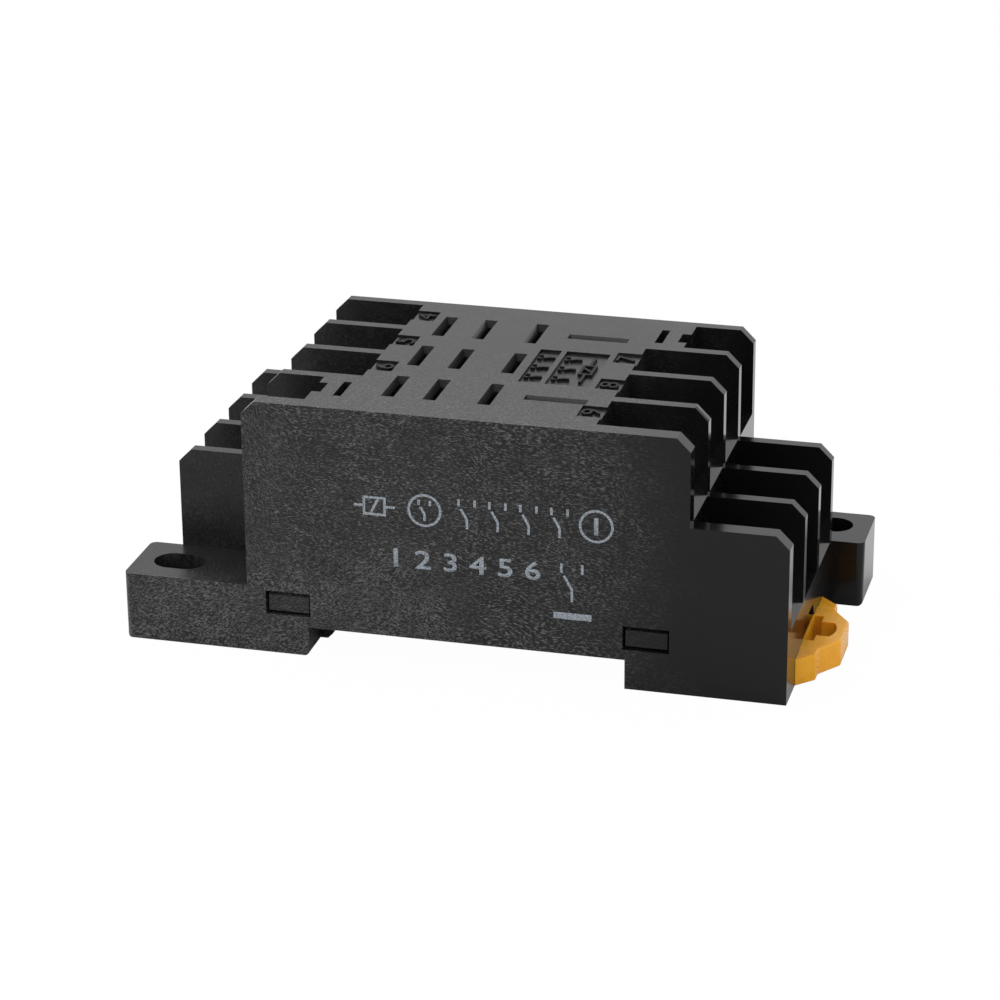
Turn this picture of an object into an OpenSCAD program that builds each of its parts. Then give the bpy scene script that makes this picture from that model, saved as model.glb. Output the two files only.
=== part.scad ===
// Eleven-terminal screw socket for a plug-in three-pole relay.
// X runs along the socket, Y across it (front face at -Y) and Z up.
// The origin is the middle of the face that seats on the 35 mm rail.

/* [Body] */
// Width of the body across the rail direction (Y)
body_w = 36; // [35:0.5:42]
// Length of the upper tier
upper_len = 49.4; // [48:0.2:56]
// Length of the lower tier
lower_len = 70.8; // [70:0.2:80]
// Length over the mounting ears
ears_len = 78.2; // [77:0.2:90]
// Height of the upper tier above the rail face
upper_h = 26; // [25.5:0.25:30]
// Height of the lower tier above the rail face
lower_h = 16; // [15.5:0.25:17]
// Height of the ears above the rail face
ear_h = 4.35; // [3.5:0.05:5]
// Chamfer at the outer top corners of both tiers
corner_chamfer = 1.5; // [0.5:0.1:2.5]
// Radius of the ears' upright corners
ear_corner_r = 0.8; // [0.3:0.1:2]
// Radius of the ears' lower edges at their ends
ear_edge_r = 0.5; // [0.2:0.1:1]

/* [Walls] */
// Thickness of the front wall
front_wall = 2; // [1.6:0.1:2.4]
// Thickness of the back wall and of the fins between bays
fin_t = 1.3; // [1.1:0.05:1.6]
// Thickness of the end walls
end_wall = 1.5; // [1.2:0.1:2]
// Thickness of the top wall
top_wall = 1.6; // [1.2:0.1:2.2]
// Distance from the middle to the inner end of an upper terminal bay
bay_in = 14.1; // [13.8:0.1:14.5]
// Distance from the middle to the inner end of a retainer bay
retainer_in = 18.1; // [17.6:0.1:19]

/* [Terminal bays] */
// Rise of the wire ramp at a bay's mouth
ramp_rise = 1.2; // [1:0.1:1.4]
// Run of the wire ramp at a bay's mouth
ramp_run = 1.4; // [1:0.1:2]
// Step from the tier below up to the ramp's foot
upper_sill = 0.1; // [0.05:0.05:0.5]
// Step from the ear up to the lower ramp's foot
lower_sill = 0.25; // [0.1:0.05:0.5]
// Distance from a tier's end to the screws
screw_inset = 5.5; // [5.4:0.1:5.8]

/* [Rail] */
// Width of the mounting rail
rail_w = 35; // [34.7:0.1:35.3]
// Play of the rail in its channel
rail_play = 0.5; // [0.3:0.1:0.8]
// Depth of the rail channel
channel_h = 3.4; // [3.2:0.1:4]
// Thickest rail lip that the hooks take
rail_lip = 1.55; // [1.1:0.05:1.8]
// Reach of the fixed hooks under the rail lip
hook_reach = 1.15; // [0.8:0.05:1.5]

/* [Relay contacts] */
// Pitch of the three poles
pole_pitch = 10; // [9.8:0.1:10.4]
// Place of the normally open blades along X
open_x = -9.7; // [-10:0.1:-9.4]
// Place of the normally closed blades along X
closed_x = -5.05; // [-5.4:0.05:-4.8]
// Place of the common blades along X
common_x = 1; // [0.6:0.1:1.4]
// Place of the coil blades along X
coil_x = 8.2; // [7.8:0.1:8.4]
// Length of a blade slot's mouth
slot_len = 6.45; // [5.8:0.05:6.6]
// Width of a blade slot's mouth
slot_w = 1.45; // [1.2:0.05:1.5]
// Extra length of the two coil slots
coil_slot_extra = 0.45; // [0:0.05:0.6]
// Inset of a blade slot below its lead-in
lead_in = 0.35; // [0.2:0.05:0.4]
// Depth of the lead-in
lead_in_h = 0.8; // [0.5:0.1:1]

/* [Retainer slots] */
// Place of the narrow spring slits along X
slit_x = 15.05; // [14.9:0.05:15.3]
// Width of a spring slit
slit_w = 0.9; // [0.6:0.05:1.1]
// Length of a spring slit
slit_len = 4.35; // [4:0.05:5]
// Depth of a spring slit
slit_h = 8; // [5:0.5:9]
// Depth of the notch in a retainer bay's end
notch_in = 1; // [0.6:0.1:1.4]
// Width of the notch in a retainer bay's end
notch_w = 2.8; // [2.4:0.1:3.4]

/* [Label fields] */
// Depth of the sunken fields on top
field_h = 0.3; // [0.2:0.05:0.5]
// Width of a terminal number's field
number_w = 3.2; // [2.8:0.1:3.6]
// Length of a terminal number's field
number_len = 2.65; // [2.2:0.05:2.8]
// Length of the two long fields
long_field_len = 10.6; // [9:0.1:11]

/* [Screws and contacts] */
// Thread diameter
screw_d = 3.5; // [3:0.1:3.6]
// Screw length under the head
screw_len = 5; // [4.5:0.25:5.5]
// Diameter of the screw head
head_d = 5.8; // [5.2:0.1:5.9]
// Height of the screw head
head_h = 2.2; // [1.8:0.1:2.4]
// Thickness of the clamp washer
washer_t = 1; // [0.8:0.1:1.2]
// Height of the washer's turned-up sides
washer_lip = 0.6; // [0.4:0.1:0.8]
// Thickness of the contact plate
plate_t = 0.9; // [0.8:0.1:1.1]
// Thickness of the blade spring
spring_t = 0.4; // [0.3:0.05:0.45]
// Height of the blade spring
spring_len = 9.9; // [9:0.1:10.4]
// Width of the blade spring
spring_w = 5.8; // [5.4:0.1:5.9]
// Width of the tongue that joins plate and spring
tongue_w = 2.4; // [2:0.1:2.6]

/* [Base plate] */
// Thickness of the base plate over the rail
base_t = 1.8; // [1.4:0.1:1.9]
// Width of a snap window
window_w = 5.1; // [4.6:0.1:5.4]
// Distance from the middle to a snap window's middle
window_x = 20.05; // [19.8:0.05:20.3]
// Height of a snap window's sill above the rail face
window_sill = 1.2; // [1:0.1:1.5]
// Height of a snap window
window_h = 2.75; // [2.5:0.05:3]

/* [Rail clip] */
// Place of the clip across the body
clip_y = -4.45; // [-4.8:0.05:-4]
// Thickness of the clip
clip_t = 3.1; // [2.9:0.05:3.15]
// Width of the clip in its guide
clip_w = 12; // [11:0.5:13]
// Width of the pull tab at its root
tab_root_w = 17.2; // [15.5:0.1:18]
// Width of the pull tab at its end
tab_end_w = 5.2; // [4:0.2:7]
// Reach of the pull tab beyond the lower tier
tab_reach = 4; // [3.6:0.1:4.6]
// Reach of the clip under the rail lip
clip_reach = 1.3; // [0.9:0.1:1.6]
// Travel of the clip when it is pulled out
clip_travel = 2.5; // [2:0.1:3]

/* [Clearances] */
// Clearance round the base plate
base_gap = 0.15; // [0.1:0.05:0.2]
// Clearance round the rail clip
clip_gap = 0.12; // [0.08:0.02:0.16]
// Radial clearance of the screw in its thread
thread_gap = 0.05; // [0.03:0.01:0.08]
// Radial clearance of the screw in its washer
washer_gap = 0.08; // [0.04:0.01:0.1]
// Clearance of a contact in the moulding
contact_gap = 0.1; // [0.05:0.05:0.2]
// Clearance of a clamp washer between the fins
washer_play = 0.2; // [0.15:0.05:0.35]

/* [Hidden] */
fine = 48;
eps = 0.01;
over = 1;

black = [0.09, 0.09, 0.1];
amber = [0.86, 0.6, 0.12];
brass = [0.83, 0.69, 0.4];
plated = [0.78, 0.79, 0.8];

// Outline of the body
front_y = -body_w / 2;
back_y = body_w / 2;
upper_end = upper_len / 2;
lower_end = lower_len / 2;
ears_end = ears_len / 2;
bottom_z = -channel_h;
channel_end = (rail_w + rail_play) / 2;
channel_lip_r = 0.6;
inner_front = front_y + front_wall;
inner_back = back_y - fin_t;

// Four bays share the width between the walls
bay_w = (body_w - front_wall - 4 * fin_t) / 4;
bay_pitch = bay_w + fin_t;
function bay_y(i) = inner_front + bay_w / 2 + i * bay_pitch;
function bay_front(i) = bay_y(i) - bay_w / 2;
function bay_back(i) = bay_y(i) + bay_w / 2;

// Bay floors
upper_foot = lower_h + upper_sill;
lower_foot = ear_h + lower_sill;
upper_floor = upper_foot + ramp_rise;
lower_floor = lower_foot + ramp_rise;
retainer_floor = lower_h;

// Hollows under the floors, closed by the base plate
upper_hollow_end = bay_in - end_wall;
middle_hollow_end = upper_end - end_wall;
lower_hollow_end = lower_end - end_wall;
upper_hollow_top = upper_h - top_wall;
middle_hollow_top = retainer_floor - end_wall;
lower_hollow_top = lower_foot - end_wall;

// Ears: the left one ends at the second bay, the right one starts at the last fin
left_ear_back = bay_back(0);
right_ear_front = bay_back(2) + fin_t;
ear_slot_w = 4.1;
ear_slot_len = 5.9;
ear_slot_edge = 2.05;
ear_slot_x = ears_end - ear_slot_edge - ear_slot_len / 2;
left_slot_y = (front_y + left_ear_back) / 2;
right_slot_y = (right_ear_front + back_y) / 2 + 0.5;

// Screw and contact stack
thread_r = screw_d / 2;
plate_bore_r = thread_r + thread_gap;
washer_bore_r = thread_r + washer_gap;
collar_wall = 0.6;
collar_h = 1.2;
collar_r = plate_bore_r + collar_wall;
well_r = collar_r + contact_gap;
boss_r = well_r + 0.6;
washer_w = bay_w - 2 * washer_play;
plate_w = bay_w - 8 * contact_gap;
plate_reach = 3.3;
boss_drop = 1.2;

// Blade springs hang under their slots
spring_top = upper_hollow_top - 0.3;
spring_bottom = spring_top - spring_len;
spring_bow = 0.42;
spring_wide = 0.95;
spring_bend_r = spring_wide;
spring_touch = 1.5;
spring_bow_len = 4;
riser_w = 2.4;

// Number, side, tier (1 upper, 0 lower), bay, blade column, pole row and tongue offset
TERMINALS = [
    [1, -1, 0, 1, closed_x, -1, -0.9],
    [2, -1, 0, 2, closed_x, 0, 0],
    [3, -1, 0, 3, closed_x, 1, 0],
    [4, -1, 1, 3, open_x, 1, 0],
    [5, -1, 1, 2, open_x, 0, 0],
    [6, -1, 1, 1, open_x, -1, -0.9],
    [7, 1, 1, 2, common_x, 1, 0],
    [8, 1, 1, 1, common_x, 0, 0],
    [9, 1, 1, 0, common_x, -1, -0.8],
    [10, 1, 0, 2, coil_x, 1, 0],
    [11, 1, 0, 0, coil_x, -1, 0]
];
function t_side(t) = t[1];
function t_upper(t) = t[2] == 1;
function t_bay(t) = t[3];
function t_column(t) = t[4];
function t_row(t) = t[5] * pole_pitch;
function t_coil(t) = t[4] == coil_x;
function t_floor(t) = t_upper(t) ? upper_floor : lower_floor;
function t_end(t) = t_upper(t) ? upper_end : lower_end;
function t_inner(t) = t_upper(t) ? bay_in : upper_end;
function t_screw_x(t) = t_side(t) * (t_end(t) - screw_inset);
function t_tongue_y(t) = bay_y(t_bay(t)) + t[6];

// Slots lie a little behind their springs
slot_shift = 0.15;

// Base plate
base_top = base_t;
snap_recess = 0.4;
snap_nose = front_wall - snap_recess;
snap_back_nose = fin_t - snap_recess;
snap_w = window_w - 0.5;
snap_low = 0.15;
snap_stem = 1.2;
snap_rise = 0.3;
hook_w = 8;
hook_y = 9;

// Rail clip
clip_bottom = bottom_z + 0.1;
clip_top = clip_bottom + clip_t;
rib_out = 0.9;
rib_h = 1.1;
rib_z = clip_bottom + 1;
tab_face = 0.02;
tab_step_x = tab_reach / 2;
tab_step = 0.75;
tab_taper = 0.85;
tab_round = 0.35;
key_w = 6.6;
key_len = 0.95;
key_wall = 0.1;
key_web = 0.25;
key_window = 0.65;
key_neck_w = 3.6;
key_neck_end = tab_reach - 1;
notch_top = 1.7;
notch_slope = 1.2;
leg_gap = 0.9;
leg_t = 1;
leg_root = 3;
leg_start = channel_end + leg_root;
leg_end = lower_hollow_end - clip_travel;

// A prism whose outline lies in the XZ plane
module prism_y(points, y0, y1) {
    rotate([90, 0, 0])
        translate([0, 0, -y1])
            linear_extrude(height = y1 - y0)
                polygon(points);
}

// A prism whose outline lies in the YZ plane
module prism_x(points, x0, x1) {
    translate([x0, 0, 0])
        rotate([90, 0, 90])
            linear_extrude(height = x1 - x0)
                polygon(points);
}

// A box given by its corners
module block(low, high) {
    translate(low)
        cube([for (i = [0:2]) high[i] - low[i]]);
}

// A box between two distances from the middle on one side
module side_block(side, x0, x1, y0, y1, z0, z1) {
    block([min(side * x0, side * x1), y0, z0], [max(side * x0, side * x1), y1, z1]);
}

// Outline of a tier's outer half: upright end with a chamfered top corner
function tier_outline(side, inner, outer, top) = [
    [side * inner, bottom_z],
    [side * outer, bottom_z],
    [side * outer, top - corner_chamfer],
    [side * (outer - corner_chamfer), top],
    [side * inner, top]
];

module tiers() {
    for (side = [-1, 1])
        prism_y(tier_outline(side, 0, upper_end, upper_h), front_y, back_y);
    prism_y(tier_outline(-1, 0, lower_end, lower_h), bay_back(0), back_y);
    prism_y(tier_outline(1, 0, lower_end, lower_h), front_y, right_ear_front);
}

// A plate outline whose outer corners are rounded, drawn from the middle outwards
module rounded_end(side, inner, outer, y0, y1, r) {
    translate([min(side * inner, side * (outer - r)), y0])
        square([outer - r - inner, y1 - y0]);
    translate([side > 0 ? outer - 2 * r : -outer, y0 + r])
        square([2 * r, y1 - y0 - 2 * r]);
    for (y = [y0 + r, y1 - r])
        translate([side * (outer - r), y])
            circle(r, $fn = fine);
}

// An ear plate with rounded upright corners and a rounded lower edge at its end
module ear(side, y0, y1) {
    intersection() {
        translate([0, 0, bottom_z])
            linear_extrude(height = ear_h + channel_h)
                rounded_end(side, channel_end, ears_end, y0, y1, ear_corner_r);
        translate([0, y1 + over, 0])
            rotate([90, 0, 0])
                linear_extrude(height = y1 - y0 + 2 * over)
                    rounded_end(side, channel_end - over, ears_end, bottom_z, ear_h + 2 * over, ear_edge_r);
    }
}

// A through slot for a mounting screw, long along X
module ear_slot(side, y) {
    r = ear_slot_w / 2;
    half = ear_slot_len / 2 - r;
    translate([side * ear_slot_x, y, bottom_z - over]) {
        translate([-half, -r, 0])
            cube([2 * half, 2 * r, ear_h + channel_h + 2 * over]);
        for (x = [-half, half])
            translate([x, 0, 0])
                cylinder(r = r, h = ear_h + channel_h + 2 * over, $fn = fine);
    }
}

// The space of one terminal bay, with the wire ramp at its mouth
module bay_space(side, i, inner, outer, floor_z, foot_z, top_z) {
    prism_y([
        [side * inner, floor_z],
        [side * (outer - ramp_run), floor_z],
        [side * outer, foot_z],
        [side * (outer + over), foot_z],
        [side * (outer + over), top_z + over],
        [side * inner, top_z + over]
    ], bay_front(i), bay_back(i));
}

module terminal_bays() {
    for (t = TERMINALS)
        bay_space(t_side(t), t_bay(t), t_inner(t), t_end(t), t_floor(t),
            t_floor(t) - ramp_rise, t_upper(t) ? upper_h : lower_h);
}

// The lower bay between the two coil terminals has a flat floor and no terminal
module blank_bay() {
    side_block(1, upper_end, lower_end + over, bay_front(1), bay_back(1), lower_foot, lower_h + over);
}

// A bay, a notch and a slit hold the relay's retainer at two opposite corners
module retainer_bay(side, i, notch_y) {
    side_block(side, retainer_in, upper_end + over, bay_front(i), bay_back(i),
        retainer_floor, upper_h + over);
    side_block(side, retainer_in - notch_in, retainer_in + over,
        notch_y - notch_w / 2, notch_y + notch_w / 2, retainer_floor, upper_h + over);
    side_block(side, slit_x - slit_w / 2, slit_x + slit_w / 2,
        notch_y - slit_len / 2, notch_y + slit_len / 2, upper_h - slit_h, upper_h + over);
}

// One blade slot with its lead-in, long along Y, or along X for the coil
module blade_slot(t) {
    len = slot_len + (t_coil(t) ? coil_slot_extra : 0);
    size_x = t_coil(t) ? len : slot_w;
    size_y = t_coil(t) ? slot_w : len;
    translate([t_column(t), t_row(t) + slot_shift, 0]) {
        translate([-size_x / 2 + lead_in, -size_y / 2 + lead_in, upper_hollow_top - over])
            cube([size_x - 2 * lead_in, size_y - 2 * lead_in, top_wall + over]);
        intersection() {
            prism_y(lead_in_outline(size_x), -size_y, size_y);
            prism_x(lead_in_outline(size_y), -size_x, size_x);
        }
    }
}
function lead_in_outline(size) = [
    [-size / 2 + lead_in, upper_h - lead_in_h],
    [size / 2 - lead_in, upper_h - lead_in_h],
    [size / 2, upper_h],
    [size / 2, upper_h + over],
    [-size / 2, upper_h + over],
    [-size / 2, upper_h]
];

// Sunken fields: a number beside each upper bay and two long ones
module label_fields() {
    for (t = TERMINALS)
        if (t_upper(t))
            side_block(t_side(t), bay_in - number_len, bay_in + eps,
                bay_y(t_bay(t)) - number_w / 2, bay_y(t_bay(t)) + number_w / 2,
                upper_h - field_h, upper_h + over);
    for (field = [[2.8, 5.2], [5.8, 10.75]])
        block([field[0], -long_field_len / 2, upper_h - field_h],
            [field[1], long_field_len / 2, upper_h + over]);
}

// The hollow that holds the contacts, stepped under the floors
module hollow() {
    block([-upper_hollow_end, inner_front, bottom_z - over],
        [upper_hollow_end, inner_back, upper_hollow_top]);
    block([-middle_hollow_end, inner_front, bottom_z - over],
        [middle_hollow_end, inner_back, middle_hollow_top]);
    side_block(-1, channel_end, lower_hollow_end, bay_front(1), inner_back,
        bottom_z - over, lower_hollow_top);
    side_block(1, channel_end, lower_hollow_end, inner_front, bay_back(2),
        bottom_z - over, lower_hollow_top);
}

// The rail channel, with a rounded lip at the side of the fixed hooks
module rail_channel() {
    r = channel_lip_r;
    block([-channel_end, front_y - over, bottom_z - over], [channel_end, back_y + over, 0]);
    difference() {
        block([-channel_end - r, front_y - over, bottom_z - over], [-channel_end + eps, back_y + over, bottom_z + r]);
        translate([-channel_end - r, back_y + 2 * over, bottom_z + r])
            rotate([90, 0, 0])
                cylinder(r = r, h = body_w + 4 * over, $fn = fine);
    }
}

module snap_windows() {
    for (side = [-1, 1])
        for (y = [front_y - over, inner_back - over])
            side_block(side, window_x - window_w / 2, window_x + window_w / 2,
                y, y + front_wall + 2 * over, window_sill, window_sill + window_h);
}

// Bosses under the bay floors take the screw ends
module screw_bosses() {
    for (t = TERMINALS) {
        low = t_upper(t) ? middle_hollow_top : lower_hollow_top;
        translate([t_screw_x(t), bay_y(t_bay(t)), low - boss_drop])
            cylinder(r = boss_r, h = boss_drop + eps, $fn = fine);
    }
}
module screw_wells() {
    for (t = TERMINALS)
        translate([t_screw_x(t), bay_y(t_bay(t)), bottom_z])
            cylinder(r = well_r, h = t_floor(t) - bottom_z + eps, $fn = fine);
}

// Tongues of the contacts pass through the bays' inner walls
module tongue_passages() {
    for (t = TERMINALS)
        side_block(t_side(t), t_inner(t) - end_wall - eps, t_inner(t) + eps,
            t_tongue_y(t) - tongue_w / 2 - contact_gap, t_tongue_y(t) + tongue_w / 2 + contact_gap,
            t_floor(t), t_floor(t) + plate_t + contact_gap);
}

// The clip comes out under the right end wall, where a notch gives room to the screwdriver
module clip_mouth() {
    half = clip_w / 2 + clip_gap;
    block([lower_hollow_end - over, clip_y - half, bottom_z - over],
        [lower_end + over, clip_y + half, clip_top + clip_gap]);
    prism_x([
        [clip_y - key_w / 2, clip_top],
        [clip_y + key_w / 2, clip_top],
        [clip_y + key_w / 2 - notch_slope, notch_top],
        [clip_y - key_w / 2 + notch_slope, notch_top]
    ], lower_hollow_end - over, lower_end + over);
}

module housing() {
    color(black)
        difference() {
            union() {
                difference() {
                    union() {
                        tiers();
                        ear(-1, front_y, left_ear_back);
                        ear(1, right_ear_front, back_y);
                    }
                    hollow();
                    rail_channel();
                }
                screw_bosses();
            }
            terminal_bays();
            blank_bay();
            retainer_bay(-1, 0, bay_y(0) + 0.4);
            retainer_bay(1, 3, bay_y(3) - 0.6);
            for (t = TERMINALS)
                blade_slot(t);
            label_fields();
            snap_windows();
            screw_wells();
            tongue_passages();
            clip_mouth();
            ear_slot(-1, left_slot_y);
            ear_slot(1, right_slot_y);
        }
}

// Outline of the base plate inside the skirt, narrower where an ear is solid
module base_outline() {
    g = base_gap;
    translate([-middle_hollow_end + g, inner_front + g])
        square([2 * (middle_hollow_end - g), inner_back - inner_front - 2 * g]);
    translate([-lower_hollow_end + g, bay_front(1) + g])
        square([lower_hollow_end - channel_end, inner_back - bay_front(1) - 2 * g]);
    translate([channel_end, inner_front + g])
        square([lower_hollow_end - g - channel_end, bay_back(2) - inner_front - 2 * g]);
}

// A snap hook rises behind a wall and reaches into its window
module snap_hook(side, wall, out, nose) {
    stem_in = wall - out * base_gap;
    prism_x([
        [stem_in, base_top - eps],
        [stem_in, window_sill + snap_low + base_gap],
        [wall + out * nose, window_sill + snap_low + base_gap],
        [wall + out * nose, window_sill + window_h - 2 * base_gap - snap_rise],
        [wall + out * (nose - snap_rise), window_sill + window_h - 2 * base_gap],
        [stem_in - out * snap_stem, window_sill + window_h + snap_rise],
        [stem_in - out * snap_stem, base_top - eps]
    ], side * window_x - snap_w / 2, side * window_x + snap_w / 2);
}

// Fixed hooks reach under the rail's left lip
module fixed_hooks() {
    for (y = [-hook_y, hook_y])
        prism_y([
            [-channel_end - over, bottom_z],
            [-channel_end + hook_reach / 2, bottom_z],
            [-channel_end + hook_reach, bottom_z + hook_reach / 2],
            [-channel_end + hook_reach, -rail_lip],
            [-channel_end - over, -rail_lip]
        ], y - hook_w / 2, y + hook_w / 2);
}

// Guide for the rail clip: a channel with two side grooves, open below
module clip_guide() {
    half = clip_w / 2 + clip_gap;
    block([channel_end - over, clip_y - half, bottom_z - over],
        [lower_end, clip_y + half, clip_top + clip_gap]);
    block([channel_end + end_wall, clip_y - half - rib_out, rib_z - clip_gap],
        [lower_end, clip_y + half + rib_out, rib_z + rib_h + clip_gap]);
}

module base_plate() {
    color(black)
        difference() {
            union() {
                difference() {
                    translate([0, 0, bottom_z])
                        linear_extrude(height = base_top - bottom_z)
                            base_outline();
                    rail_channel();
                }
                fixed_hooks();
                for (side = [-1, 1]) {
                    snap_hook(side, inner_front, -1, snap_nose);
                    snap_hook(side, inner_back, 1, snap_back_nose);
                }
            }
            clip_guide();
        }
}

// Outline of the pull tab: two tapered steps, mirrored about the clip's middle
function tab_half() = [
    [lower_end - over, tab_root_w / 2],
    [lower_end + tab_face, tab_root_w / 2],
    [lower_end + tab_step_x, tab_root_w / 2 - 2 * tab_taper],
    [lower_end + tab_step_x + tab_face, tab_root_w / 2 - 2 * tab_taper - 2 * tab_step],
    [lower_end + tab_reach, tab_end_w / 2]
];
module tab_outline() {
    half = tab_half();
    count = len(half);
    intersection() {
        translate([lower_end + tab_face, clip_y - tab_root_w])
            square([tab_reach + over, 2 * tab_root_w]);
        offset(r = tab_round, $fn = 24)
            offset(delta = -tab_round)
                translate([0, clip_y])
                    polygon(concat(half, [for (i = [count - 1:-1:0]) [half[i][0], -half[i][1]]]));
    }
}

// The keyhole for a screwdriver: a wide mouth crossed by a web, and a round-ended neck
module keyhole() {
    mouth = lower_end + tab_face + key_wall;
    neck_r = key_neck_w / 2;
    translate([0, clip_y, clip_bottom - over]) {
        for (x = [mouth, mouth - key_web - key_window])
            translate([x, -key_w / 2, 0])
                cube([x == mouth ? key_len : key_window, key_w, clip_t + 2 * over]);
        intersection() {
            translate([mouth, -neck_r, 0])
                cube([lower_end + key_neck_end - mouth, key_neck_w, clip_t + 2 * over]);
            translate([lower_end + key_neck_end - 2 * neck_r, 0, 0])
                cylinder(r = 2 * neck_r, h = clip_t + 2 * over, $fn = fine);
        }
    }
}

// Two spring legs are cut out of the plate from its outer end
module leg_slots() {
    for (side = [-1, 1]) {
        y = side * (clip_w / 2 - leg_t - leg_gap / 2);
        translate([leg_start, clip_y + y - leg_gap / 2, clip_bottom - over])
            cube([leg_end - leg_start, leg_gap, clip_t + 2 * over]);
    }
    translate([leg_start + leg_gap, clip_y - clip_w / 2 + leg_t + 2 * leg_gap + leg_t, clip_bottom - over])
        cube([leg_end - leg_start - 3 * leg_gap, clip_w - 4 * leg_t - 4 * leg_gap, clip_t + 2 * over]);
}

module rail_clip() {
    tip = channel_end - clip_reach;
    color(amber)
        difference() {
            union() {
                prism_y([
                    [tip + clip_reach / 2, clip_bottom],
                    [lower_end + 2 * tab_face + key_wall, clip_bottom],
                    [lower_end + 2 * tab_face + key_wall, clip_top],
                    [channel_end + clip_gap, clip_top],
                    [channel_end + clip_gap, -rail_lip],
                    [tip, -rail_lip],
                    [tip, clip_bottom + clip_reach / 2]
                ], clip_y - clip_w / 2, clip_y + clip_w / 2);
                block([channel_end + end_wall + clip_gap, clip_y - clip_w / 2 - rib_out, rib_z],
                    [lower_hollow_end - clip_travel, clip_y + clip_w / 2 + rib_out, rib_z + rib_h]);
                translate([0, 0, clip_bottom])
                    linear_extrude(height = clip_t)
                        tab_outline();
            }
            keyhole();
            leg_slots();
        }
}

// Section of the blade spring: a U that narrows to the blade and flares at its mouth
function spring_half(z) =
    z < spring_bottom + spring_bend_r
        ? sqrt(max(0, pow(spring_bend_r, 2) - pow(spring_bottom + spring_bend_r - z, 2)))
        : z < spring_top - spring_touch - spring_bow_len
            ? spring_wide
            : z < spring_top - spring_touch
                ? spring_bow + (spring_wide - spring_bow)
                    * (1 + cos(180 * (z - spring_top + spring_touch + spring_bow_len) / spring_bow_len)) / 2
                : spring_bow + (spring_wide - spring_bow)
                    * pow((z - spring_top + spring_touch) / spring_touch, 2);
SPRING_LEVELS = concat(
    [for (a = [15:15:90]) spring_bottom + spring_bend_r * (1 - cos(a))],
    [for (i = [0:6]) spring_top - spring_touch - spring_bow_len * (1 - i / 6)],
    [for (i = [1:4]) spring_top - spring_touch * (1 - i / 4)]
);
function spring_line(shift) = [for (z = SPRING_LEVELS) [spring_half(z) + shift, z]];
function flipped(points) = [for (i = [len(points) - 1:-1:0]) [-points[i][0], points[i][1]]];

module blade_spring() {
    rotate([90, 0, 0])
        translate([0, 0, -spring_w / 2])
            linear_extrude(height = spring_w)
                difference() {
                    polygon(concat(
                        flipped(spring_line(spring_t / 2)),
                        [[0, spring_bottom - spring_t / 2]],
                        spring_line(spring_t / 2)
                    ));
                    polygon(concat(
                        [[-spring_wide - spring_t, spring_top + over]],
                        flipped(spring_line(-spring_t / 2)),
                        [[0, spring_bottom + spring_t / 2]],
                        spring_line(-spring_t / 2),
                        [[spring_wide + spring_t, spring_top + over]]
                    ));
                }
}

// A contact: screw plate, tongue through the wall, and the blade spring it carries
module contact(t) {
    s = t_side(t);
    y0 = t_tongue_y(t);
    floor_z = t_floor(t);
    half_pad = spring_wide + spring_t / 2;
    toward = sign(t_row(t) - y0);
    far = t_upper(t) ? t_row(t) - toward * (spring_w / 2 - spring_t) : t_row(t) + toward * riser_w / 2;
    near = y0 - toward * tongue_w / 2;
    stop_x = t_upper(t) ? s * t_column(t) + half_pad : s * t_column(t) + riser_w / 2;
    color(brass) {
        difference() {
            union() {
                side_block(s, t_inner(t), abs(t_screw_x(t)) + plate_reach,
                    bay_y(t_bay(t)) - plate_w / 2, bay_y(t_bay(t)) + plate_w / 2,
                    floor_z, floor_z + plate_t);
                side_block(s, stop_x - eps, t_inner(t) + eps, y0 - tongue_w / 2, y0 + tongue_w / 2,
                    floor_z, floor_z + plate_t);
                side_block(s, t_upper(t) ? s * t_column(t) - half_pad : s * t_column(t) - riser_w / 2, stop_x,
                    min(near, far), max(near, far), floor_z, floor_z + plate_t);
                translate([t_screw_x(t), bay_y(t_bay(t)), floor_z - collar_h])
                    cylinder(r = collar_r, h = collar_h + plate_t / 2, $fn = fine);
            }
            translate([t_screw_x(t), bay_y(t_bay(t)), floor_z - collar_h - over])
                cylinder(r = plate_bore_r, h = collar_h + plate_t + 2 * over, $fn = fine);
        }
        translate([t_column(t), t_row(t), 0])
            rotate([0, 0, t_coil(t) ? 90 : 0])
                blade_spring();
        if (!t_upper(t))
            block([t_column(t) - riser_w / 2, t_row(t) - riser_w / 2, floor_z],
                [t_column(t) + riser_w / 2, t_row(t) + riser_w / 2, spring_bottom + spring_t / 4]);
    }
}

// A square clamp washer that the screw carries, with two turned-up sides
module clamp_washer(t) {
    z = t_floor(t) + plate_t;
    cut = 0.8;
    half = washer_w / 2;
    side_t = 0.35;
    color(plated)
        translate([t_screw_x(t), bay_y(t_bay(t)), z])
            difference() {
                union() {
                    linear_extrude(height = washer_t)
                        polygon([
                            [-half, -half + cut], [-half + cut, -half], [half - cut, -half], [half, -half + cut],
                            [half, half - cut], [half - cut, half], [-half + cut, half], [-half, half - cut]
                        ]);
                    for (side = [-1, 1])
                        block([-half + 2 * cut, side > 0 ? half - side_t : -half, 0],
                            [half - 2 * cut, side > 0 ? half : -half + side_t, washer_t + washer_lip]);
                }
                translate([0, 0, -over])
                    cylinder(r = washer_bore_r, h = washer_t + 2 * over, $fn = fine);
            }
}

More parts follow.
